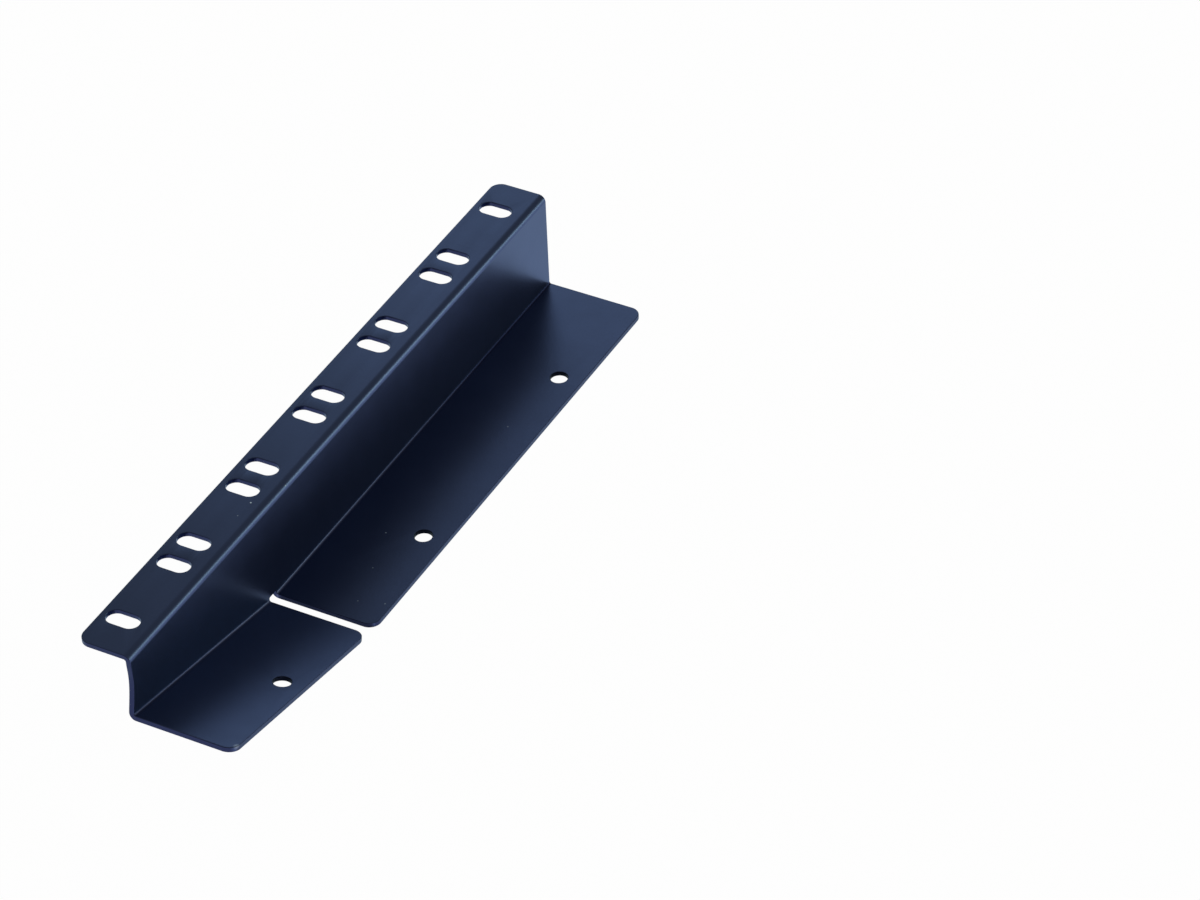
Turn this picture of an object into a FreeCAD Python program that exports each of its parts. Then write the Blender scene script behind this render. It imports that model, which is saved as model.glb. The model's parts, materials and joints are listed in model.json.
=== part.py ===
import FreeCAD, Part
import math
import os

# Rack mount ear bracket, folded from one steel sheet. Millimetres, +Z up.
# The ear is the top strip that bolts to the rack rail. A web hangs from its inner side,
# and two flanges fold out from the web's foot: a flat one that carries the device, and a
# shorter sloped one at the split end, parted from it by a slit.
# The part stands on the underside of the flat flange, with its origin at the bottom centre
# of its bounding box. +X points to the split end and +Y to the flanges' outer edges.

# Sheet
sheet = 2.0
bend_inner_radius = 0.8
corner_radius = 4.5
edge_radius = 0.3
rim_chamfer = 0.25

# Rack hole pattern along the ear, two slots for each rack unit
rack_units = 6
rack_unit_height = 44.45
close_pitch = 12.7
end_margin = 15.5
slot_width = 7.0
slot_length = 12.7

# Section, with widths measured from the web's inner face
height = 42.0
ear_width = 21.0
slot_reach = 12.5
flat_flange_width = 39.2
sloped_flange_width = 38.7

# Flanges along the length, measured from the ear's split end
flat_flange_start = 87.6
slit_width = 4.3
slit_relief = 0.4
slit_corner_radius = 0.3
slope_angle = 10.5
sloped_flange_overrun = 1.7
split_edge_hollow = 1.5

# Round holes for the device's screws
hole_diameter = 6.5
hole_reach = 30.25
hole_spacing = 99.4
far_hole_inset = 48.5
sloped_hole_inset = 44.8

# Values that follow from the sizes above
length = rack_units * rack_unit_height - close_pitch + 2 * end_margin
bend_outer_radius = bend_inner_radius + sheet
slope = math.radians(slope_angle)
sloped_flange_end = flat_flange_start - slit_width
sloped_flange_length = (sloped_flange_end + sloped_flange_overrun) / math.cos(slope)
edge_loss = edge_radius * (math.cos(slope) + math.sin(slope) - 1)
split_reach = sloped_flange_overrun + sheet * math.sin(slope) - edge_loss
middle_x = (length - split_reach) / 2
middle_y = (flat_flange_width - ear_width) / 2

# Working values: how far cutters run past the sheet, the direction to an arc's middle, how
# closely two places must agree, and the cosine above which two faces count as tangent
clear = 1.0
diagonal = math.sqrt(0.5)
tolerance = 0.01
tangent_cosine = 0.9

up = FreeCAD.Vector(0, 0, 1)
across = FreeCAD.Vector(0, 1, 0)
along = FreeCAD.Vector(1, 0, 0)


def station(distance, y, z):
    """Point at a distance from the ear's split end, y from the web's inner face, z from the base."""
    return FreeCAD.Vector(middle_x - distance, y - middle_y, z)


def slope_point(run, y, lift):
    """Point on the sloped flange: run from its split end, y from the web, lift off its underside."""
    top = station(sloped_flange_end, y, sheet)
    back = sloped_flange_length - run
    toward_split = FreeCAD.Vector(math.cos(slope), 0, math.sin(slope))
    normal = FreeCAD.Vector(-math.sin(slope), 0, math.cos(slope))
    return top + toward_split * back + normal * (lift - sheet)


def face_from(edges):
    """Flat face inside a closed run of edges."""
    return Part.Face(Part.Wire(edges))


def arc(start, middle, end):
    """Edge of a circular arc through three points."""
    return Part.Arc(start, middle, end).toShape()


def line(start, end):
    """Straight edge."""
    return Part.makeLine(start, end)


def ear_section(distance):
    """Ear and top bend in section, at one station along the length."""
    centre_y = -bend_outer_radius
    centre_z = height - bend_outer_radius

    def at(y, z):
        return station(distance, y, z)

    def on_arc(radius):
        return at(centre_y + radius * diagonal, centre_z + radius * diagonal)

    outer_start = at(0, centre_z)
    outer_end = at(centre_y, height)
    inner_start = at(centre_y, height - sheet)
    inner_end = at(-sheet, centre_z)
    return face_from([
        arc(outer_start, on_arc(bend_outer_radius), outer_end),
        line(outer_end, at(-ear_width, height)),
        line(at(-ear_width, height), at(-ear_width, height - sheet)),
        line(at(-ear_width, height - sheet), inner_start),
        arc(inner_start, on_arc(bend_inner_radius), inner_end),
        line(inner_end, outer_start),
    ])


def flange_section(place, width):
    """Foot bend and flange in section; place(y, lift) gives the point in the section's plane."""

    def on_arc(radius):
        return place(bend_inner_radius - radius * diagonal, bend_outer_radius - radius * diagonal)

    outer_start = place(-sheet, bend_outer_radius)
    outer_end = place(bend_inner_radius, 0)
    inner_start = place(bend_inner_radius, sheet)
    inner_end = place(0, bend_outer_radius)
    return face_from([
        arc(outer_start, on_arc(bend_outer_radius), outer_end),
        line(outer_end, place(width, 0)),
        line(place(width, 0), place(width, sheet)),
        line(place(width, sheet), inner_start),
        arc(inner_start, on_arc(bend_inner_radius), inner_end),
        line(inner_end, outer_start),
    ])


def ear():
    """Top strip with its bend, over the whole length."""
    return ear_section(0).extrude(along * -length)


def web():
    """Upright wall between the top bend and the foot bends, its split edge swept to the slope.

    The split edge hollows in below the ear, then runs out square to the sloped flange.
    """
    shoulder = height - bend_outer_radius
    top_split = station(0, -sheet, shoulder)
    top_far = station(length, -sheet, shoulder)
    foot_far = station(length, -sheet, bend_outer_radius)
    foot_slit = station(flat_flange_start, -sheet, bend_outer_radius)
    slope_slit = slope_point(sloped_flange_length, -sheet, bend_outer_radius)
    slope_split = slope_point(0, -sheet, bend_outer_radius)
    square = slope_split - slope_point(0, -sheet, 0)
    square.normalize()
    quarter = (top_split.z - slope_split.z) / 4
    lower_pole = slope_split + square * quarter
    upper_pole = top_split - up * quarter
    hollow_pole = upper_pole - up * (quarter / 2) - along * split_edge_hollow
    split_edge = Part.BezierCurve()
    split_edge.setPoles([slope_split, lower_pole, hollow_pole, upper_pole, top_split])
    wall = face_from([
        line(top_split, top_far),
        line(top_far, foot_far),
        line(foot_far, foot_slit),
        line(foot_slit, slope_slit),
        line(slope_slit, slope_split),
        split_edge.toShape(),
    ])
    return wall.extrude(across * sheet)


def flat_flange():
    """Flange that lies on the base, from the slit to the far end."""
    section = flange_section(lambda y, lift: station(flat_flange_start, y, lift), flat_flange_width)
    return section.extrude(along * (flat_flange_start - length))


def sloped_flange():
    """Flange that climbs from the slit to the split end."""
    section = flange_section(lambda y, lift: slope_point(0, y, lift), sloped_flange_width)
    return section.extrude(slope_point(sloped_flange_length, 0, 0) - slope_point(0, 0, 0))


def slit():
    """Gap between the two flanges, square to each of them, up to just above the foot bend."""
    top = bend_outer_radius + slit_relief
    low = slope_point(sloped_flange_length, 0, -clear)
    high = slope_point(sloped_flange_length, 0, 0)
    climb = (top - low.z) / (high.z - low.z)
    outline = [
        station(flat_flange_start, 0, low.z),
        station(flat_flange_start, 0, top),
        low + (high - low) * climb,
        low,
    ]
    start = FreeCAD.Vector(0, -sheet - clear, 0)
    reach = sheet + flat_flange_width + 2 * clear
    block = Part.Face(Part.makePolygon([p + start for p in outline + outline[:1]])).extrude(across * reach)
    ends = [edge for edge in block.Edges
            if abs(edge.CenterOfMass.z - top) < tolerance and abs(edge.Length - reach) < tolerance]
    return block.makeFillet(slit_corner_radius, ends)


def slot(distance):
    """Obround cutter through the ear, long across it."""
    radius = slot_width / 2
    half = slot_length / 2 - radius
    z = height - sheet - clear
    near = station(distance, -slot_reach + half, z)
    far = station(distance, -slot_reach - half, z)
    side = along * radius
    edges = [
        line(far + side, near + side),
        arc(near + side, near + across * radius, near - side),
        line(near - side, far - side),
        arc(far - side, far - across * radius, far + side),
    ]
    return face_from(edges).extrude(up * (sheet + 2 * clear))


def flat_hole(distance):
    """Round cutter through the flat flange."""
    return Part.makeCylinder(hole_diameter / 2, sheet + 2 * clear,
                             station(distance, hole_reach, -clear), up)


def sloped_hole():
    """Round cutter square to the sloped flange."""
    foot = slope_point(sloped_hole_inset, hole_reach, -clear)
    head = slope_point(sloped_hole_inset, hole_reach, sheet + clear)
    return Part.makeCylinder(hole_diameter / 2, sheet + 2 * clear, foot, head - foot)


def rounded_corners(body):
    """Round the free corners of the ear and of both flanges in plan."""
    corners = [
        station(0, -ear_width, height - sheet / 2),
        station(length, -ear_width, height - sheet / 2),
        station(length, flat_flange_width, sheet / 2),
        station(flat_flange_start, flat_flange_width, sheet / 2),
        slope_point(sloped_flange_length, sloped_flange_width, sheet / 2),
        slope_point(0, sloped_flange_width, sheet / 2),
    ]
    edges = []
    for corner in corners:
        for edge in body.Edges:
            if (edge.CenterOfMass - corner).Length < tolerance and abs(edge.Length - sheet) < tolerance:
                edges.append(edge)
    return body.makeFillet(corner_radius, edges)


def is_sharp(body, edge):
    """True for an edge where two faces meet at a right angle, not along a tangent."""
    sides = body.ancestorsOfType(edge, Part.Face)
    if len(sides) != 2:
        return False
    middle = edge.valueAt((edge.FirstParameter + edge.LastParameter) / 2)
    normals = []
    for side in sides:
        u, v = side.Surface.parameter(middle)
        normals.append(side.normalAt(u, v))
    return abs(normals[0].dot(normals[1])) < tangent_cosine


def sharp_edges(body):
    """All edges where two faces meet at a right angle."""
    return [edge for edge in body.Edges if is_sharp(body, edge)]


def blank():
    """Folded sheet before its slots and holes, with every cut edge slightly rounded."""
    body = ear().fuse([web(), flat_flange(), sloped_flange()])
    body = body.cut(slit()).removeSplitter()
    body = rounded_corners(body)
    return body.makeFillet(edge_radius, sharp_edges(body))


def bracket():
    """The whole bracket, its slots and holes cut last and their rims chamfered."""
    cutters = []
    for unit in range(rack_units):
        first = end_margin + unit * rack_unit_height
        cutters.append(slot(first))
        cutters.append(slot(first + rack_unit_height - close_pitch))
    cutters.append(flat_hole(length - far_hole_inset))
    cutters.append(flat_hole(length - far_hole_inset - hole_spacing))
    cutters.append(sloped_hole())
    body = blank().cut(cutters)
    return body.makeChamfer(rim_chamfer, sharp_edges(body))


def main():
    os.makedirs("parts", exist_ok=True)
    shape = bracket()
    solid = shape.Solids[0]
    box = solid.optimalBoundingBox(False, False)
    print("solids", len(shape.Solids), "valid", solid.isValid(), "faces", len(solid.Faces))
    print("volume", round(solid.Volume, 1), "length", round(length, 2))
    print("box", [round(v, 3) for v in (box.XMin, box.XMax, box.YMin, box.YMax, box.ZMin, box.ZMax)])
    solid.exportStep("parts/rack_ear_bracket.step")


main()
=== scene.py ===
"""Rack mount ear bracket: its powder-coated finish, the studio and the camera.

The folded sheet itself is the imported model's one node. This script smooths its shading,
dresses it in a satin black powder coat with a blue cast, and lights it on a white floor.
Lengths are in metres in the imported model's frame unless a name ends in _mm.
"""

import json
import logging
import math
from dataclasses import dataclass
from enum import Enum
from functools import cached_property, reduce

import bpy
from mathutils import Matrix, Vector


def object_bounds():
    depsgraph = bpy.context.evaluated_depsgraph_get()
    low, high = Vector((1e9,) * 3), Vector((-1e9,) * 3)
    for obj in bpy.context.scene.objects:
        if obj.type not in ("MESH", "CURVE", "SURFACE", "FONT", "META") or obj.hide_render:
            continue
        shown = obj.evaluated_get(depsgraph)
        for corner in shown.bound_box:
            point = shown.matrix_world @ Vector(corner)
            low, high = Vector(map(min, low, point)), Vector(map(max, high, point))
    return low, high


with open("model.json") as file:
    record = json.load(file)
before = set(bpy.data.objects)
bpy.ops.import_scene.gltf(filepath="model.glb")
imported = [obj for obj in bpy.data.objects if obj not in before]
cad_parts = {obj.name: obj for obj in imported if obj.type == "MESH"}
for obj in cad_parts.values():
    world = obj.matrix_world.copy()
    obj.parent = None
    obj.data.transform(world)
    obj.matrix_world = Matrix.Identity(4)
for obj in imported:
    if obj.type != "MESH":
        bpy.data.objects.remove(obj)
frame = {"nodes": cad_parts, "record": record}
CAD_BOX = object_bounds()

Node = bpy.types.Node
NodeTree = bpy.types.NodeTree
Socket = bpy.types.NodeSocket
Colour = tuple[float, float, float]
Point = tuple[float, float, float]
Span = tuple[float, float]

MM = 0.001
OPAQUE = 1.0
NONE_TO_ALL: Span = (0.0, 1.0)
ALL_TO_NONE: Span = (1.0, 0.0)
UP = Vector((0.0, 0.0, 1.0))
logger = logging.getLogger("rack_ear_bracket")


class Operation(Enum):
    """What a maths node does with its values."""

    MULTIPLY = "MULTIPLY"
    MAXIMUM = "MAXIMUM"
    SUBTRACT = "SUBTRACT"
    ABSOLUTE = "ABSOLUTE"
    COMPARE = "COMPARE"


class LampRole(Enum):
    """The job of a lamp in the studio."""

    FAR = "far_softbox"
    SIDE = "side_softbox"


@dataclass
class ShaderBench:
    """Adds nodes to one node tree and feeds their inputs."""

    tree: NodeTree

    @classmethod
    def on(cls, holder: bpy.types.Material | bpy.types.World) -> "ShaderBench":
        """Empty a node tree and set up a bench on it.

        Args:
            holder: The material or world whose node tree it is.

        Returns:
            The bench.
        """
        holder.use_nodes = True
        holder.node_tree.nodes.clear()
        return cls(holder.node_tree)

    @cached_property
    def place(self) -> Socket:
        """Give the position in the object's own axes, in metres."""
        return self.node("ShaderNodeTexCoord").outputs["Object"]

    @cached_property
    def facing(self) -> Socket:
        """Give the direction that the surface faces, in the object's own axes."""
        return self.node("ShaderNodeTexCoord").outputs["Normal"]

    def node(self, kind: str, **settings: object) -> Node:
        """Add a node.

        Args:
            kind: The node's type name.
            settings: Attributes to set on the node.

        Returns:
            The new node.
        """
        made = self.tree.nodes.new(kind)
        for name, value in settings.items():
            setattr(made, name, value)
        return made

    def feed(self, target: Socket, value: Socket | Colour | Vector | float) -> None:
        """Give an input its value.

        Args:
            target: The input.
            value: An output to link it to, or a colour, vector or number of its own.
        """
        if isinstance(value, Socket):
            self.tree.links.new(value, target)
        elif isinstance(value, tuple):
            target.default_value = (*value, OPAQUE)
        else:
            target.default_value = value

    def feed_all(self, node: Node, values: dict[str, Socket | Colour | float]) -> None:
        """Give a node's inputs their values, by the inputs' names."""
        for name, value in values.items():
            self.feed(node.inputs[name], value)

    def finish(self, kind: str, surface: Socket) -> None:
        """Add the tree's output node, of the type named, and feed it the surface."""
        self.feed_all(self.node(kind), {"Surface": surface})

    def maths(self, mode: Operation, *values: Socket | float) -> Socket:
        """Work out a value.

        Args:
            mode: The operation.
            values: As many values as the operation takes.

        Returns:
            The result's socket.
        """
        made = self.node("ShaderNodeMath", operation=mode.value)
        for target, value in zip(made.inputs, values):
            self.feed(target, value)
        return made.outputs[0]

    def square(self, value: Socket) -> Socket:
        """Multiply a value by itself."""
        return self.maths(Operation.MULTIPLY, value, value)

    def highest(self, values: list[Socket]) -> Socket:
        """Find the highest of some values."""
        return reduce(lambda high, value: self.maths(Operation.MAXIMUM, high, value), values)

    def axes(self, vector: Socket) -> dict[str, Socket]:
        """Split a vector.

        Args:
            vector: The vector.

        Returns:
            Its parts' sockets, by their names X, Y and Z.
        """
        split = self.node("ShaderNodeSeparateXYZ")
        self.feed(split.inputs[0], vector)
        return {part.name: part for part in split.outputs}

    def remap(self, value: Socket, source: Span, target: Span = NONE_TO_ALL) -> Socket:
        """Map a range of a value to another range, clamped.

        Args:
            value: The value.
            source: The range read.
            target: The range given.

        Returns:
            The mapped value's socket.
        """
        made = self.node("ShaderNodeMapRange")
        self.feed(made.inputs["Value"], value)
        for name, number in zip(("From Min", "From Max", "To Min", "To Max"), (*source, *target)):
            self.feed(made.inputs[name], number)
        return made.outputs["Result"]

    def noise(self, grain_mm: float, detail: float) -> Socket:
        """Add a noise whose blotches have a real size.

        Args:
            grain_mm: The size of a blotch.
            detail: The number of finer octaves.

        Returns:
            The noise value's socket, about 0.5 on average.
        """
        made = self.node("ShaderNodeTexNoise")
        self.feed_all(made, {"Vector": self.place, "Scale": 1 / (grain_mm * MM), "Detail": detail})
        return made.outputs["Fac"]

    def bump(self, height: Socket, distance: float, under: Socket | None = None) -> Socket:
        """Bump the surface.

        Args:
            height: The height, from 0 to 1.
            distance: What a height of 1 comes to, in metres.
            under: The bumped normal that this bump lies on, or None for the plain surface.

        Returns:
            The bumped normal's socket.
        """
        made = self.node("ShaderNodeBump")
        self.feed_all(made, {"Height": height, "Distance": distance})
        if under is not None:
            self.feed(made.inputs["Normal"], under)
        return made.outputs[0]

    def mix(self, share: Socket, low: Socket | Colour, high: Socket | Colour) -> Socket:
        """Mix two colours.

        Args:
            share: The share of the second colour.
            low: The first colour.
            high: The second colour.

        Returns:
            The mixed colour's socket.
        """
        made = self.node("ShaderNodeMix", data_type="RGBA")
        self.feed(made.inputs["Factor"], share)
        colours = [socket for socket in made.inputs if socket.type == "RGBA"]
        for target, value in zip(colours, (low, high)):
            self.feed(target, value)
        return next(socket for socket in made.outputs if socket.type == "RGBA")


@dataclass(frozen=True)
class Spot:
    """A round place on the sheet: a grain of dust, a painted highlight or a hole's wall.

    strength is how much of the spot's own colour shows, and rim_mm is how far it fades out
    to each side of its radius.
    """

    place_mm: Point
    radius_mm: float
    strength: float = 1.0
    rim_mm: float = 0.1


@dataclass(frozen=True)
class SheetMarks:
    """The places on the sheet where the coat looks different.

    fold_mm is where the fold starts and ends across the sheet, and slit_mm is where the slit
    lies along it.
    """

    specks_and_highlight: tuple[Spot, ...]
    holes: tuple[Spot, ...]
    fold_mm: Span
    slit_mm: float


@dataclass(frozen=True)
class PowderCoat:
    """Satin black powder coat with a blue cast, a fine orange peel and a few dust specks.

    It is painted darker on the cut edges and the long rims as shade, and painted nearly black
    on the round holes' walls as shade. In the fold it is less glossy, and its colour holds a
    painted highlight by the slit that fades to painted shade towards both ends. One rounded
    corner holds a painted highlight.
    """

    name: str = "black_powder_coat"

    # Two tones of the flat faces, and the noise between them
    deep: Colour = (0.0565, 0.0795, 0.1780)
    pale: Colour = (0.0605, 0.0850, 0.1915)
    tone_mm: float = 35.0
    tone_detail: float = 3.0
    tone_span: Span = (0.35, 0.65)

    # Reflections, with their cast at grazing angles, and a faint veil over them
    metallic: float = 1.0
    edge_cast: Colour = (0.77, 0.91, 1.0)
    veil: float = 0.058
    veil_cast: Colour = (1.0, 0.72, 0.60)
    veil_roughness: float = 0.4

    # Roughness of the flat faces, and the noise in it
    face_roughness: Span = (0.32, 0.35)
    gloss_mm: float = 9.0
    gloss_detail: float = 4.0
    gloss_span: Span = (0.3, 0.7)

    # Orange peel and the finer grain on it
    peel_mm: float = 1.1
    peel_height: float = 0.000013
    grain_mm: float = 0.22
    grain_height: float = 0.0000045
    relief_detail: float = 1.0

    # Painted shade on the cut edges, how far they turn away, and where the long rims lie from the
    # middle
    cut_edge_shade: Colour = (0.0300, 0.0380, 0.1010)
    cut_turn: Span = (0.3, 0.6)
    long_rim_mm: Span = (29.1, 29.3)

    # Painted shade on the walls of the round holes, and how far they turn away
    hole_wall_shade: Colour = (0.006, 0.008, 0.018)
    hole_turn: Span = (0.4, 0.7)

    # Inside of the fold: its roughness, and a painted highlight by the slit that fades to painted
    # shade towards the far end and the split end
    fold_roughness: float = 0.45
    fold_painted_highlight: Colour = (0.0820, 0.0970, 0.2080)
    fold_painted_shade: Colour = (0.0150, 0.0190, 0.0650)
    far_fade_mm: float = 150.0
    split_fade_mm: float = 85.0
    split_end_share: float = 0.39

    # Dust specks, and a painted highlight on one rounded corner
    dust_and_highlight: Colour = (0.70, 0.82, 1.0)

    def material(self, marks: SheetMarks) -> bpy.types.Material:
        """Build the coat's material.

        Args:
            marks: The places where the coat looks different.

        Returns:
            The material.
        """
        made = bpy.data.materials.new(self.name)
        bench = ShaderBench.on(made)
        in_fold = self.fold_mask(bench, marks.fold_mm)
        shader = bench.node("ShaderNodeBsdfPrincipled")
        bench.feed_all(shader, {
            "Base Color": self.colour(bench, in_fold, marks),
            "Metallic": self.metallic,
            "Roughness": self.roughness(bench, in_fold),
            "Normal": self.relief(bench),
            "Specular Tint": self.edge_cast,
            "Sheen Weight": self.veil,
            "Sheen Tint": self.veil_cast,
            "Sheen Roughness": self.veil_roughness,
        })
        bench.finish("ShaderNodeOutputMaterial", shader.outputs[0])
        return made

    def colour(self, bench: ShaderBench, in_fold: Socket, marks: SheetMarks) -> Socket:
        """Lay the coat's colours over each other: the flat faces, the painted shade of the cut
        edges and the holes' walls, the painted highlight and shade of the fold, then the dust and a
        painted corner highlight.

        Args:
            bench: The bench of the coat's node tree.
            in_fold: A value's socket, 1 in the fold and 0 elsewhere.
            marks: The places where the coat looks different.

        Returns:
            The colour's socket.
        """
        tone = bench.remap(bench.noise(self.tone_mm, self.tone_detail), self.tone_span)
        coat = bench.mix(tone, self.deep, self.pale)
        # Painted shade: the cut edges and long rims are painted darker
        coat = bench.mix(self.cut_shade_mask(bench), coat, self.cut_edge_shade)
        # Painted shade: the round holes' walls are painted nearly black
        coat = bench.mix(self.hole_shade_mask(bench, marks.holes), coat, self.hole_wall_shade)
        # Painted highlight by the slit and painted shade towards the ends, inside the fold
        coat = bench.mix(in_fold, coat, self.fold_painted_light(bench, marks.slit_mm))
        # Dust specks, and a painted highlight on one rounded corner
        return bench.mix(self.spot_mask(bench, marks.specks_and_highlight), coat, self.dust_and_highlight)

    def roughness(self, bench: ShaderBench, in_fold: Socket) -> Socket:
        """Vary the roughness over the faces, and raise it in the fold.

        Args:
            bench: The bench of the coat's node tree.
            in_fold: A value's socket, 1 in the fold and 0 elsewhere.

        Returns:
            The roughness's socket.
        """
        gloss = bench.noise(self.gloss_mm, self.gloss_detail)
        face = bench.remap(gloss, self.gloss_span, self.face_roughness)
        fold = bench.maths(Operation.MULTIPLY, in_fold, self.fold_roughness)
        return bench.highest([face, fold])

    def relief(self, bench: ShaderBench) -> Socket:
        """Bump the surface with the coat's orange peel and its fine grain.

        Args:
            bench: The bench of the coat's node tree.

        Returns:
            The bumped normal's socket.
        """
        peel = bench.bump(bench.noise(self.peel_mm, self.relief_detail), self.peel_height)
        return bench.bump(bench.noise(self.grain_mm, self.relief_detail), self.grain_height, peel)

    def cut_shade_mask(self, bench: ShaderBench) -> Socket:
        """Mark the cut edges, which face along the bracket, or across it at the long rims, where
        shade is painted darker.

        Args:
            bench: The bench of the coat's node tree.

        Returns:
            A value's socket, 1 on a cut edge and 0 on the sheet's faces.
        """
        facing = bench.axes(bench.facing)
        along = bench.square(facing["X"])
        across = bench.square(facing["Y"])
        reach = bench.square(bench.axes(bench.place)["Y"])
        start, end = self.long_rim_mm
        rim = bench.remap(reach, ((start * MM) ** 2, (end * MM) ** 2))
        turn = bench.highest([along, bench.maths(Operation.MULTIPLY, across, rim)])
        return bench.remap(turn, self.cut_turn)

    def fold_mask(self, bench: ShaderBench, fold_mm: Span) -> Socket:
        """Mark the inside of the fold between the web and the flanges.

        Args:
            bench: The bench of the coat's node tree.
            fold_mm: Where the fold starts and ends across the sheet.

        Returns:
            A value's socket, 1 in the fold and 0 elsewhere.
        """
        start, end = fold_mm
        middle = (start + end) / 2 * MM
        half = (end - start) / 2 * MM
        return bench.maths(Operation.COMPARE, bench.axes(bench.place)["Y"], middle, half)

    def fold_painted_light(self, bench: ShaderBench, slit_mm: float) -> Socket:
        """Paint light and shade into the fold's coat: a painted highlight by the slit, fading to
        painted shade towards both ends of the sheet.

        Args:
            bench: The bench of the coat's node tree.
            slit_mm: Where the slit lies along the sheet.

        Returns:
            The colour's socket.
        """
        along = bench.axes(bench.place)["X"]
        slit = slit_mm * MM
        far_side = bench.remap(along, (slit - self.far_fade_mm * MM, slit))
        fade = (slit, slit + self.split_fade_mm * MM)
        split_side = bench.remap(along, fade, (1.0, self.split_end_share))
        share = bench.maths(Operation.MULTIPLY, far_side, split_side)
        return bench.mix(share, self.fold_painted_shade, self.fold_painted_highlight)

    def hole_shade_mask(self, bench: ShaderBench, holes: tuple[Spot, ...]) -> Socket:
        """Mark the walls of the round holes, where shade is painted nearly black.

        Args:
            bench: The bench of the coat's node tree.
            holes: The places of the round holes.

        Returns:
            A value's socket, 1 on a hole's wall and 0 elsewhere.
        """
        lying = bench.square(bench.axes(bench.facing)["Z"])
        upright = bench.remap(lying, self.hole_turn, ALL_TO_NONE)
        return bench.maths(Operation.MULTIPLY, upright, self.spot_mask(bench, holes))

    def spot_mask(self, bench: ShaderBench, spots: tuple[Spot, ...]) -> Socket:
        """Mark round places on the sheet.

        Args:
            bench: The bench of the coat's node tree.
            spots: The round places.

        Returns:
            A value's socket, a spot's strength on it and 0 elsewhere.
        """
        marked = []
        for spot in spots:
            far = bench.node("ShaderNodeVectorMath", operation="DISTANCE")
            bench.feed(far.inputs[0], bench.place)
            bench.feed(far.inputs[1], Vector(spot.place_mm) * MM)
            edge = ((spot.radius_mm - spot.rim_mm) * MM, (spot.radius_mm + spot.rim_mm) * MM)
            marked.append(bench.remap(far.outputs["Value"], edge, (spot.strength, 0.0)))
        return bench.highest(marked)


@dataclass
class FoldedSheet:
    """The bracket's one folded sheet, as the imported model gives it."""

    node: str = "rack_ear_bracket"
    slot: str = "black_powder_coat"
    weld_distance: float = 0.000001
    coat: PowderCoat = PowderCoat()
    fold_mm: Span = (-9.08, -8.35)
    slit_mm: float = 56.0
    hole_rim_mm: float = 0.65
    specks_and_highlight: tuple[Spot, ...] = (
        Spot((55.6, -14.8, 42.0), 0.30),
        Spot((63.5, -15.2, 42.0), 0.20, strength=0.4),
        Spot((41.4, -9.7, 40.9), 0.20, strength=0.25),
        Spot((8.9, 8.6, 2.0), 0.28, strength=0.8),
        Spot((-61.7, 18.3, 2.0), 0.22, strength=0.6),
        Spot((27.3, 14.0, 2.0), 0.20, strength=0.6),
        Spot((44.8, 18.2, 2.0), 0.20, strength=0.5),
        Spot((42.0, 27.4, 2.0), 0.20, strength=0.5),
        # Not dust: a painted highlight on the sloped flange's rounded outer corner
        Spot((140.4, 29.1, 17.2), 0.95, strength=0.20, rim_mm=0.45),
    )

    def build(self) -> list[bpy.types.Object]:
        """Smooth and dress the sheet.

        Returns:
            The dressed pieces.
        """
        sheet = frame["nodes"][self.node]
        self.smooth(sheet)
        marks = SheetMarks(self.specks_and_highlight, self.holes(), self.fold_mm, self.slit_mm)
        material = self.coat.material(marks)
        for holder in sheet.material_slots:
            holder.material = material
        return [sheet]

    def holes(self) -> tuple[Spot, ...]:
        """Find the round holes from the record's mounts.

        Returns:
            The middle of each hole, with a radius that takes in its wall and rim.
        """
        mounts = {mount["name"]: mount for mount in frame["record"]["mounts"]}
        pair = mounts["flange_holes"]
        x, y, z = (number / MM for number in pair["pos_m"])
        half = pair["dims"]["spacing_x_mm"] / 2
        single = tuple(number / MM for number in mounts["sloped_hole"]["pos_m"])
        reach = pair["dims"]["hole_r_mm"] + self.hole_rim_mm
        return tuple(Spot(middle, reach) for middle in ((x - half, y, z), (x + half, y, z), single))

    def smooth(self, sheet: bpy.types.Object) -> None:
        """Let the bends and the rounded edges flow into the flats.

        Args:
            sheet: The sheet's object. Only modifiers are added to it.
        """
        weld = sheet.modifiers.new("joined_seams", "WELD")
        weld.merge_threshold = self.weld_distance
        flow = sheet.modifiers.new("flowing_bends", "WEIGHTED_NORMAL")
        flow.mode = "FACE_AREA"
        flow.keep_sharp = False


@dataclass(frozen=True)
class Lamp:
    """One softbox of the studio, its power in watts."""

    role: LampRole
    place: Point
    aim: Point
    width: float
    height: float
    power: float
    tint: Colour

    def build(self) -> bpy.types.Object:
        """Hang the softbox.

        Returns:
            The lamp.
        """
        data = bpy.data.lights.new(self.role.value, "AREA")
        data.shape = "RECTANGLE"
        data.size = self.width
        data.size_y = self.height
        data.energy = self.power
        data.color = self.tint
        lamp = bpy.data.objects.new(self.role.value, data)
        bpy.context.scene.collection.objects.link(lamp)
        lamp.location = self.place
        toward = Vector(self.aim) - Vector(self.place)
        lamp.rotation_mode = "QUATERNION"
        lamp.rotation_quaternion = toward.to_track_quat("-Z", "Y")
        return lamp


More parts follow.
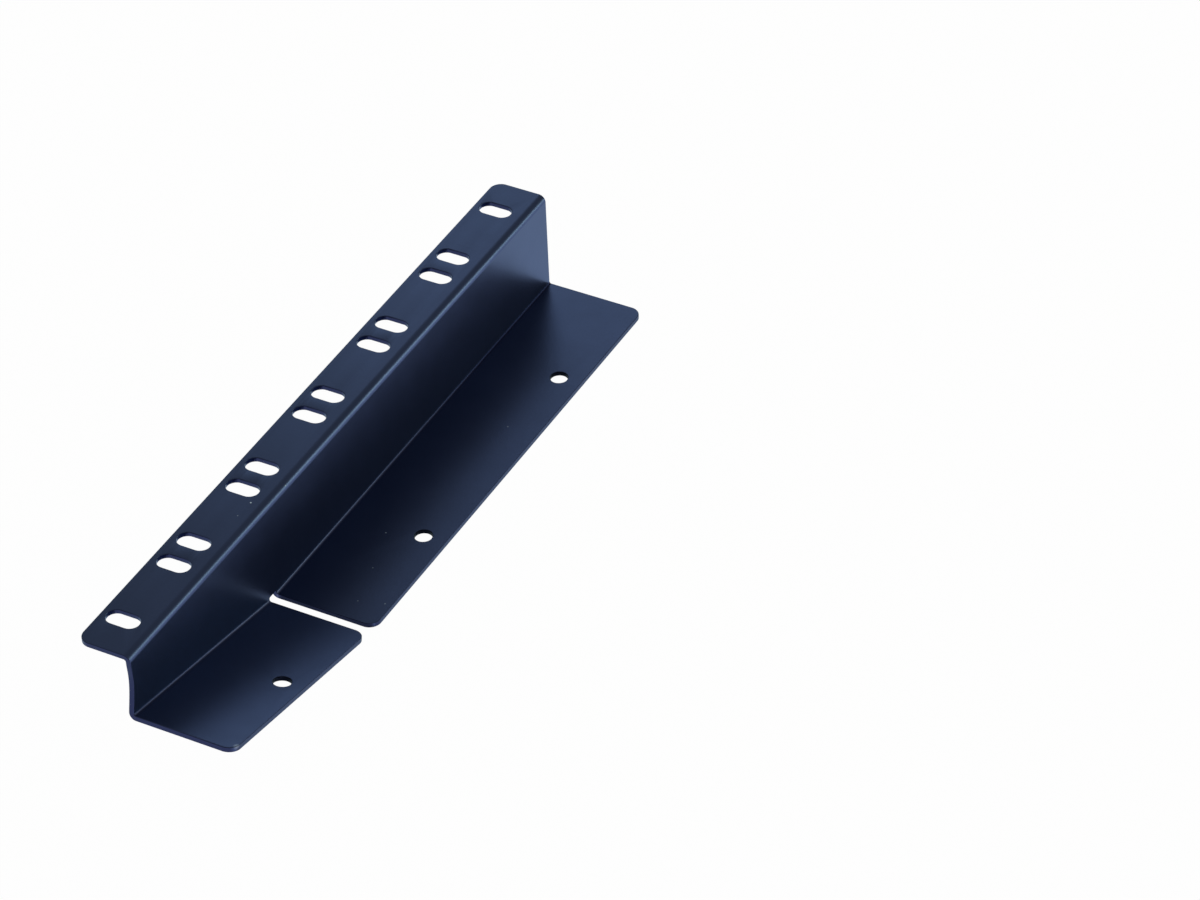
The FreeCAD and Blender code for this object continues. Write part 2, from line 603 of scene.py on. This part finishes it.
@dataclass
class Studio:
    """White floor, even pale surroundings and soft lamps."""

    floor_size: float = 12.0
    floor_gap: float = 0.00002
    floor_tone: Colour = (0.90, 0.90, 0.90)
    white: Colour = (1.0, 1.0, 1.0)
    shown_white: float = 0.985
    shade_start_mm: float = -9.0
    shade_edge_mm: float = 1.0
    shade_left: float = 0.3
    sky: Colour = (1.0, 1.0, 0.86)
    sky_strength: float = 0.265
    lamps: tuple[Lamp, ...] = (
        Lamp(
            role=LampRole.SIDE,
            place=(-0.75, 1.05, 0.19),
            aim=(0.0, 0.0, 0.04),
            width=0.9,
            height=0.28,
            power=3.1,
            tint=(0.90, 1.0, 0.68),
        ),
        Lamp(
            role=LampRole.FAR,
            place=(-1.05, -0.50, 0.62),
            aim=(-0.05, 0.0, 0.02),
            width=0.6,
            height=0.45,
            power=0.70,
            tint=(0.90, 1.0, 0.98),
        ),
    )

    def build(self) -> list[bpy.types.Object]:
        """Set up the floor, the surroundings and the lamps.

        Returns:
            The floor and the lamps.
        """
        self.surround()
        return [self.floor(), *(lamp.build() for lamp in self.lamps)]

    def surround(self) -> None:
        """Make the world an even pale light."""
        world = bpy.data.worlds.new("studio_white")
        bench = ShaderBench.on(world)
        light = bench.node("ShaderNodeBackground")
        bench.feed_all(light, {"Color": self.sky, "Strength": self.sky_strength})
        bench.finish("ShaderNodeOutputWorld", light.outputs[0])
        bpy.context.scene.world = world

    def floor(self) -> bpy.types.Object:
        """Lay the floor just under the bracket.

        Returns:
            The floor.
        """
        half = self.floor_size / 2
        mesh = bpy.data.meshes.new("studio_floor")
        corners = [(-half, -half, 0.0), (half, -half, 0.0), (half, half, 0.0), (-half, half, 0.0)]
        mesh.from_pydata(corners, [], [(0, 1, 2, 3)])
        floor = bpy.data.objects.new("studio_floor", mesh)
        floor.location.z = -self.floor_gap
        bpy.context.scene.collection.objects.link(floor)
        mesh.materials.append(self.floor_material())
        return floor

    def floor_material(self) -> bpy.types.Material:
        """Build the floor's finish: matt and pale, near white where it is seen or mirrored.

        Returns:
            The material.
        """
        made = bpy.data.materials.new("floor_white")
        bench = ShaderBench.on(made)
        matt = bench.node("ShaderNodeBsdfDiffuse")
        bench.feed_all(matt, {"Color": self.floor_tone})
        glow = bench.node("ShaderNodeEmission")
        bench.feed_all(glow, {"Color": self.white})
        blend = bench.node("ShaderNodeMixShader")
        finishes = (self.white_share(bench), matt.outputs[0], glow.outputs[0])
        for target, finish in zip(blend.inputs, finishes):
            bench.feed(target, finish)
        bench.finish("ShaderNodeOutputMaterial", blend.outputs[0])
        return made

    def white_share(self, bench: ShaderBench) -> Socket:
        """Find how much of the floor's plain white each ray sees.

        Args:
            bench: The bench of the floor's node tree.

        Returns:
            A value's socket: nearly 1 for camera rays, so that a faint shadow stays, 1 for
            transmission rays, 1 for glossy rays to the open floor and less for those to the
            shade under the flanges, and 0 for the rest.
        """
        rays = bench.node("ShaderNodeLightPath")
        mirrored = bench.maths(Operation.MULTIPLY, rays.outputs["Is Glossy Ray"], self.shade(bench))
        direct = bench.maths(Operation.MULTIPLY, rays.outputs["Is Camera Ray"], self.shown_white)
        return bench.highest([mirrored, rays.outputs["Is Transmission Ray"], direct])

    def shade(self, bench: ShaderBench) -> Socket:
        """Find how much of the floor's white is left in the shade under the flanges.

        Args:
            bench: The bench of the floor's node tree.

        Returns:
            A value's socket, 1 in the open and less under the flanges.
        """
        place = bench.axes(bench.place)
        low, high = CAD_BOX
        along = self.white_left(bench, place["X"], (low[0], high[0]))
        across = self.white_left(bench, place["Y"], (self.shade_start_mm * MM, high[1]))
        return bench.highest([along, across])

    def white_left(self, bench: ShaderBench, value: Socket, covered: Span) -> Socket:
        """Find how much of the white the shade leaves along one axis.

        Args:
            bench: The bench of the floor's node tree.
            value: The place on that axis.
            covered: Where the shade starts and ends on it.

        Returns:
            A value's socket, 1 past the shade and less in it.
        """
        start, end = covered
        half = (end - start) / 2
        from_middle = bench.maths(Operation.SUBTRACT, value, (start + end) / 2)
        distance = bench.maths(Operation.ABSOLUTE, from_middle)
        return bench.remap(distance, (half - self.shade_edge_mm * MM, half), (self.shade_left, 1.0))


@dataclass(frozen=True)
class PhotoCamera:
    """Camera at the photograph's viewpoint, from a pinhole fit to its edges."""

    name: str = "photo_camera"
    place: Point = (1.130923, 0.734962, 1.113882)
    aim: Point = (-0.044153, 0.065926, 0.02084)
    roll_deg: float = -2.3976
    lens_mm: float = 148.88
    sensor_mm: float = 36.0
    clip: Span = (0.05, 20.0)

    def build(self) -> bpy.types.Object:
        """Place the camera and make it the scene's own.

        Returns:
            The camera.
        """
        data = bpy.data.cameras.new(self.name)
        data.lens = self.lens_mm
        data.sensor_width = self.sensor_mm
        data.clip_start, data.clip_end = self.clip
        camera = bpy.data.objects.new(self.name, data)
        bpy.context.scene.collection.objects.link(camera)
        forward = (Vector(self.aim) - Vector(self.place)).normalized()
        level = forward.cross(UP).normalized()
        rise = level.cross(forward)
        roll = math.radians(self.roll_deg)
        right = level * math.cos(roll) + rise * math.sin(roll)
        upward = right.cross(forward)
        turn = Matrix((right, upward, -forward)).transposed()
        camera.matrix_world = Matrix.Translation(self.place) @ turn.to_4x4()
        bpy.context.scene.camera = camera
        return camera


def main() -> None:
    """Build the scene: camera, studio, then the bracket."""
    logging.basicConfig(level=logging.INFO, format="%(name)s: %(message)s")
    bpy.context.scene.view_settings.view_transform = "Standard"
    for part in (PhotoCamera(), Studio()):
        part.build()
        logger.info("set up %s", type(part).__name__)
    for piece in FoldedSheet().build():
        logger.info("dressed %s, %d faces", piece.name, len(piece.data.polygons))


if __name__ == "__main__":
    main()
